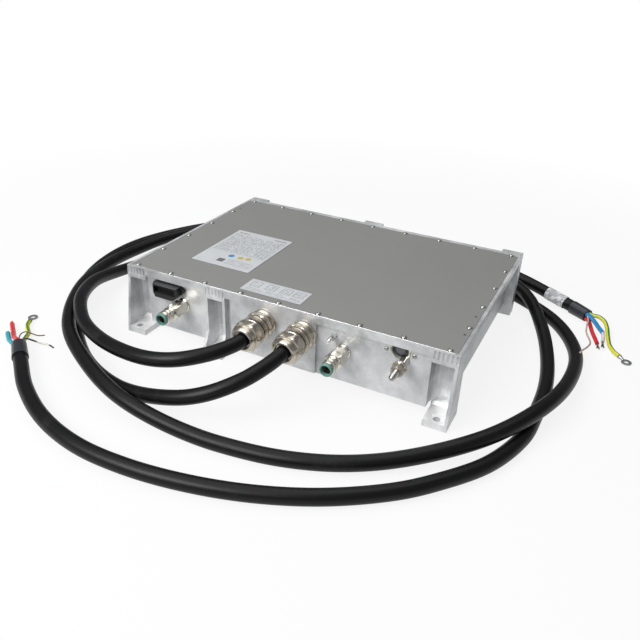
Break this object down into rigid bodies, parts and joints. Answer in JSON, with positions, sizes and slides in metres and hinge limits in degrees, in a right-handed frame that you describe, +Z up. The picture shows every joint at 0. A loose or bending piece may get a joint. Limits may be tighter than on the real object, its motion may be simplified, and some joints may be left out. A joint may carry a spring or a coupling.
{
  "type": "battery charger",
  "caption": "Flat liquid-cooled battery charger in a machined aluminium case on legs, with a screwed cover, coolant fittings and thick cables that lie around it.",
  "frame": {"origin": "on the floor under the middle of the charger without its cables", "axes": "+X along the case to the right as its connections are faced, +Y from the connections to the back, +Z up"},
  "size_m": [0.795, 0.6511, 0.0951],
  "materials": {
    "cast_aluminium": "machined and bead blasted",
    "cover_grey": "matte grey coat",
    "nickel": "nickel plated, satin",
    "steel": "zinc plated",
    "black_plastic": "matte",
    "black_rubber": "satin black",
    "green_plastic": "satin",
    "label_white": "satin film",
    "board_green": "solder mask",
    "ferrite": "matte",
    "potting": "satin",
    "terminal_grey": "matte",
    "core_red": "satin",
    "core_blue": "satin",
    "core_earth": "satin",
    "core_beige": "satin"
  },
  "bodies": {
    "root": {"battery_terminal_block": "terminal_grey", "board_spacer_1": "nickel", "board_spacer_2": "nickel", "board_spacer_3": "nickel", "board_spacer_4": "nickel", "cable_tag": "label_white", "case": "cast_aluminium", "choke_1": "potting", "choke_2": "potting", "choke_3": "potting", "connector_screw_left": "steel", "connector_screw_right": "steel", "control_board": "board_green", "coolant_inlet_fitting": "nickel", "coolant_inlet_ring": "green_plastic", "coolant_outlet_fitting": "nickel", "coolant_outlet_ring": "green_plastic", "cover_gasket": "black_rubber", "cover_plate": "cover_grey", "dc_link_capacitor": "terminal_grey", "ground_nut": "nickel", "ground_stud": "steel", "ground_washer": "steel", "handling_label": "label_white", "hex_standoff": "steel", "jacket_gasket": "black_rubber", "jacket_plate": "cast_aluminium", "left_cable": "black_rubber", "left_cable_boot": "black_plastic", "left_core_blue": "core_blue", "left_core_earth": "core_earth", "left_core_red": "core_red", "left_core_signal": "core_beige", "left_gland_body": "nickel", "left_gland_locknut": "nickel", "left_gland_nut": "nickel", "left_gland_seal": "black_rubber", "left_ring_lug": "steel", "mains_terminal_block": "terminal_grey", "power_board": "board_green", "rating_label": "label_white", "relay_block": "black_plastic", "right_cable": "black_rubber", "right_cable_boot": "black_plastic", "right_core_blue": "core_blue", "right_core_earth": "core_earth", "right_core_red": "core_red", "right_gland_body": "nickel", "right_gland_locknut": "nickel", "right_gland_nut": "nickel", "right_gland_seal": "black_rubber", "right_ring_lug": "steel", "signal_connector": "black_plastic", "transformer_1": "ferrite", "transformer_2": "ferrite", "transformer_3": "ferrite", "vent_plug": "black_plastic", "vent_screw_left": "steel", "vent_screw_right": "steel"}
  },
  "joints": []
}
